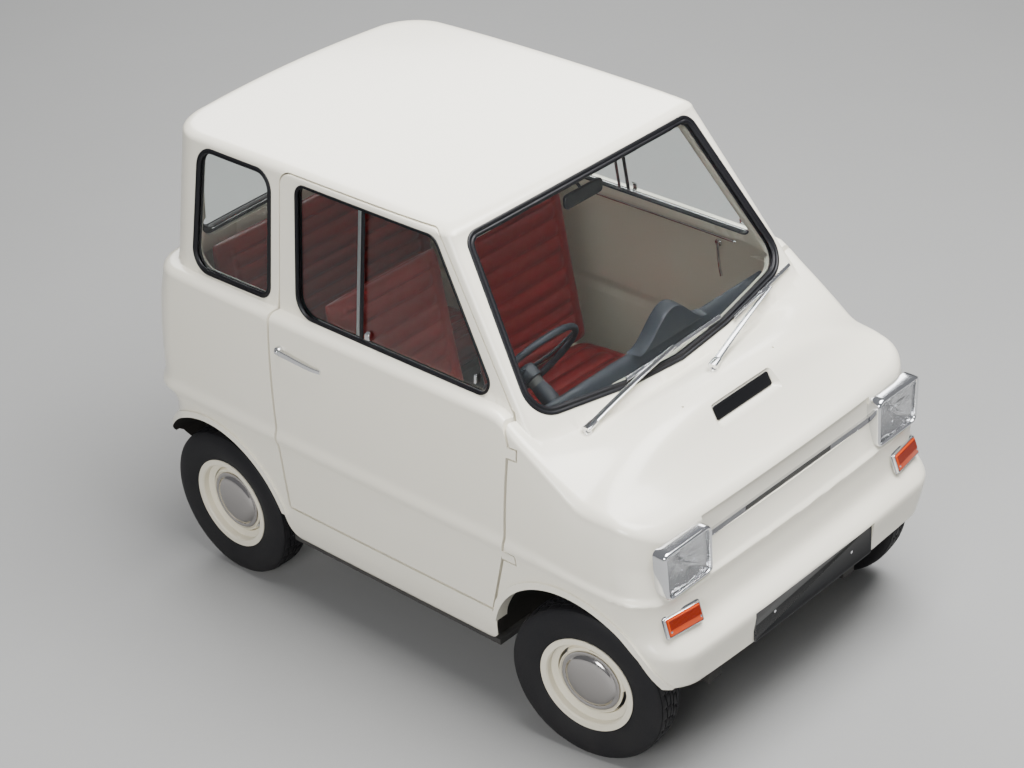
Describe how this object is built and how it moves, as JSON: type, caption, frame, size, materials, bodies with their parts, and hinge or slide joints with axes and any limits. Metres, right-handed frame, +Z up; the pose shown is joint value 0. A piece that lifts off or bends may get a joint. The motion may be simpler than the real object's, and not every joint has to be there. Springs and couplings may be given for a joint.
{
  "type": "microcar",
  "caption": "Two-door electric microcar with a moulded cream body, glazed cabin, pleated seats, steered front wheels and hinged doors.",
  "frame": {"origin": "middle of the car's length and width, on the ground under its tyres", "axes": "+Y towards the tail, +X to the car's left side, +Z up; the nose points to -Y"},
  "size_m": [1.262, 2.0296, 1.4216],
  "materials": {
    "cream_shell": "gloss",
    "clear_glass": "gloss",
    "black_rubber": "satin",
    "bright_chrome": "polished",
    "lamp_glass": "gloss",
    "amber_lens": "gloss",
    "red_lens": "gloss",
    "black_panel": "satin",
    "dark_trim": "matte",
    "oxblood_vinyl": "satin",
    "dark_floor": "satin",
    "dark_steel": "satin",
    "grey_case": "satin",
    "tyre": "matte",
    "cream_rim": "gloss"
  },
  "bodies": {
    "car_body": {"body_shell": "cream_shell", "platform": "dark_floor", "windscreen": "clear_glass", "rear_windows": "clear_glass", "window_seals": "black_rubber", "lamp_bezels": "bright_chrome", "headlamp_lenses": "lamp_glass", "indicator_lenses": "amber_lens", "tail_lamps": "red_lens", "nose_strip": "bright_chrome", "bonnet_plate": "black_panel", "number_plates": "black_panel", "wipers": "bright_chrome", "dash": "dark_trim", "instrument_pod": "dark_trim", "steering_column": "dark_trim", "cabin_mirror": "dark_trim", "front_seats": "oxblood_vinyl", "rear_seat": "oxblood_vinyl", "front_crossmember": "dark_steel", "rear_arms": "dark_steel", "motors": "grey_case", "batteries": "grey_case"},
    "steering_wheel": {"steering_wheel": "dark_trim"},
    "left_knuckle": {"knuckle_left": "dark_steel"},
    "right_knuckle": {"knuckle_right": "dark_steel"},
    "left_door": {"door_left": "cream_shell", "door_glass_left": "clear_glass", "door_seal_left": "black_rubber", "door_fittings_left": "bright_chrome"},
    "right_door": {"door_right": "cream_shell", "door_glass_right": "clear_glass", "door_seal_right": "black_rubber", "door_fittings_right": "bright_chrome"},
    "front_left_wheel": {"tyre_front_left": "tyre", "wheel_front_left": "cream_rim", "hubcap_front_left": "bright_chrome"},
    "front_right_wheel": {"tyre_front_right": "tyre", "wheel_front_right": "cream_rim", "hubcap_front_right": "bright_chrome"},
    "rear_left_wheel": {"tyre_rear_left": "tyre", "wheel_rear_left": "cream_rim", "hubcap_rear_left": "bright_chrome"},
    "rear_right_wheel": {"tyre_rear_right": "tyre", "wheel_rear_right": "cream_rim", "hubcap_rear_right": "bright_chrome"}
  },
  "joints": [
    {"name": "steer_left", "type": "hinge", "parent": "car_body", "child": "left_knuckle", "pos_m": [0.455, -0.669, 0.237], "axis": [0, 0, 1], "range_deg": [-37, 19]},
    {"name": "steer_right", "type": "hinge", "parent": "car_body", "child": "right_knuckle", "pos_m": [-0.455, -0.669, 0.237], "axis": [0, 0, 1], "range_deg": [-37, 19]},
    {"name": "steering_wheel_turn", "type": "hinge", "parent": "car_body", "child": "steering_wheel", "pos_m": [-0.262, -0.232, 0.892], "axis": [0, 0.8192, 0.5736], "range_deg": [-444, 228]},
    {"name": "left_door_hinge", "type": "hinge", "parent": "car_body", "child": "left_door", "pos_m": [0.617, -0.49, 0.58], "axis": [0.0341, 0.0496, -0.9982], "range_deg": [0, 65]},
    {"name": "right_door_hinge", "type": "hinge", "parent": "car_body", "child": "right_door", "pos_m": [-0.617, -0.49, 0.58], "axis": [0.0341, -0.0496, 0.9982], "range_deg": [0, 65]},
    {"name": "front_left_spin", "type": "hinge", "parent": "left_knuckle", "child": "front_left_wheel", "pos_m": [0.53204, -0.6568, 0.237], "axis": [0.9877, 0.1564, 0], "continuous": true},
    {"name": "rear_left_spin", "type": "hinge", "parent": "car_body", "child": "rear_left_wheel", "pos_m": [0.533, 0.723, 0.237], "axis": [1, 0, 0], "continuous": true},
    {"name": "front_right_spin", "type": "hinge", "parent": "right_knuckle", "child": "front_right_wheel", "pos_m": [-0.53204, -0.6812, 0.237], "axis": [0.9877, 0.1564, 0], "continuous": true},
    {"name": "rear_right_spin", "type": "hinge", "parent": "car_body", "child": "rear_right_wheel", "pos_m": [-0.533, 0.723, 0.237], "axis": [1, 0, 0], "continuous": true}
  ],
  "couplings": [
    {"joint": "steer_right", "follows": "steer_left", "ratio": 1},
    {"joint": "steering_wheel_turn", "follows": "steer_left", "ratio": 12}
  ]
}
